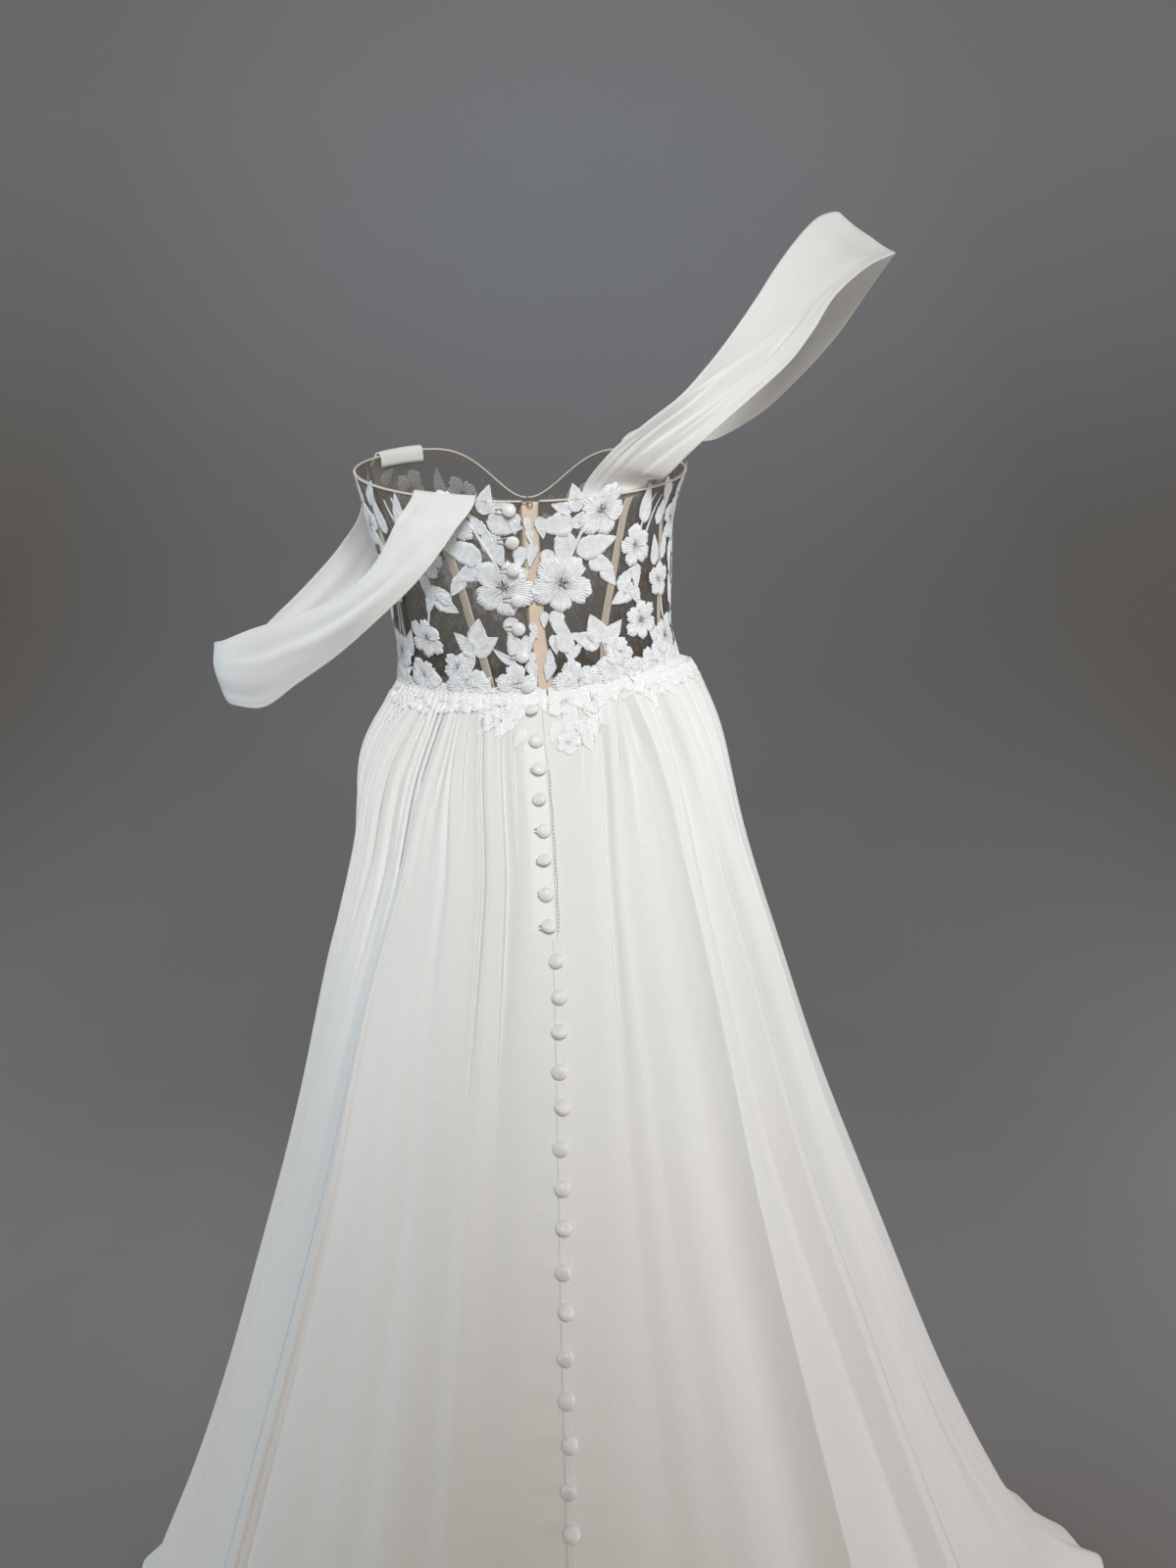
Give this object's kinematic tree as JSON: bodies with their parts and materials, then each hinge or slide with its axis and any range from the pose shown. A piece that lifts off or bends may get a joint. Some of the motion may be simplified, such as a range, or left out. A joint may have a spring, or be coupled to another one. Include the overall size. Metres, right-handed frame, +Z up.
{
  "type": "wedding dress",
  "caption": "Floor-length off-the-shoulder wedding dress: sheer lace corset bodice, draped crepe sleeves, buttoned back, gathered crepe skirt with a train, in its worn form.",
  "frame": {"origin": "centre of the waist seam, where the worn dress is held by its wearer", "axes": "+Z up, +Y to the back of the dress and its train, +X to the wearer's left"},
  "size_m": [1.1148, 1.437, 1.4371],
  "materials": {
    "crepe": "soft matte ivory crepe with a faint sheen",
    "lace": "white floral embroidery on fine tulle",
    "nude_satin": "nude satin tape",
    "button_satin": "satin-covered button",
    "zip_tape": "woven concealed zip tape"
  },
  "bodies": {
    "root": {"bodice_back_left": "lace", "bodice_back_right": "lace", "bodice_front_left": "lace", "bodice_front_right": "lace", "bodice_side_left": "lace", "bodice_side_right": "lace", "boning_left_1": "nude_satin", "boning_left_2": "nude_satin", "boning_left_3": "nude_satin", "boning_right_1": "nude_satin", "boning_right_2": "nude_satin", "boning_right_3": "nude_satin", "button_bodice_1": "button_satin", "button_bodice_2": "button_satin", "button_bodice_3": "button_satin", "button_bodice_4": "button_satin", "button_bodice_5": "button_satin", "button_bodice_6": "button_satin", "button_bodice_7": "button_satin", "button_skirt_01": "button_satin", "button_skirt_02": "button_satin", "button_skirt_03": "button_satin", "button_skirt_04": "button_satin", "button_skirt_05": "button_satin", "button_skirt_06": "button_satin", "button_skirt_07": "button_satin", "button_skirt_08": "button_satin", "button_skirt_09": "button_satin", "button_skirt_10": "button_satin", "button_skirt_11": "button_satin", "button_skirt_12": "button_satin", "button_skirt_13": "button_satin", "button_skirt_14": "button_satin", "button_skirt_15": "button_satin", "button_skirt_16": "button_satin", "button_skirt_17": "button_satin", "button_skirt_18": "button_satin", "button_skirt_19": "button_satin", "button_skirt_20": "button_satin", "button_skirt_21": "button_satin", "button_skirt_22": "button_satin", "button_skirt_23": "button_satin", "button_stand": "crepe", "button_tape": "crepe", "lace_waist_back_left": "lace", "lace_waist_back_right": "lace", "lace_waist_front": "lace", "lace_waist_side_left": "lace", "lace_waist_side_right": "lace", "placket": "nude_satin", "skirt_back_left": "crepe", "skirt_back_right": "crepe", "skirt_front": "crepe", "skirt_side_left": "crepe", "skirt_side_right": "crepe", "sleeve_left": "crepe", "sleeve_right": "crepe", "top_binding_left": "nude_satin", "top_binding_right": "nude_satin", "zip": "zip_tape"}
  },
  "joints": []
}
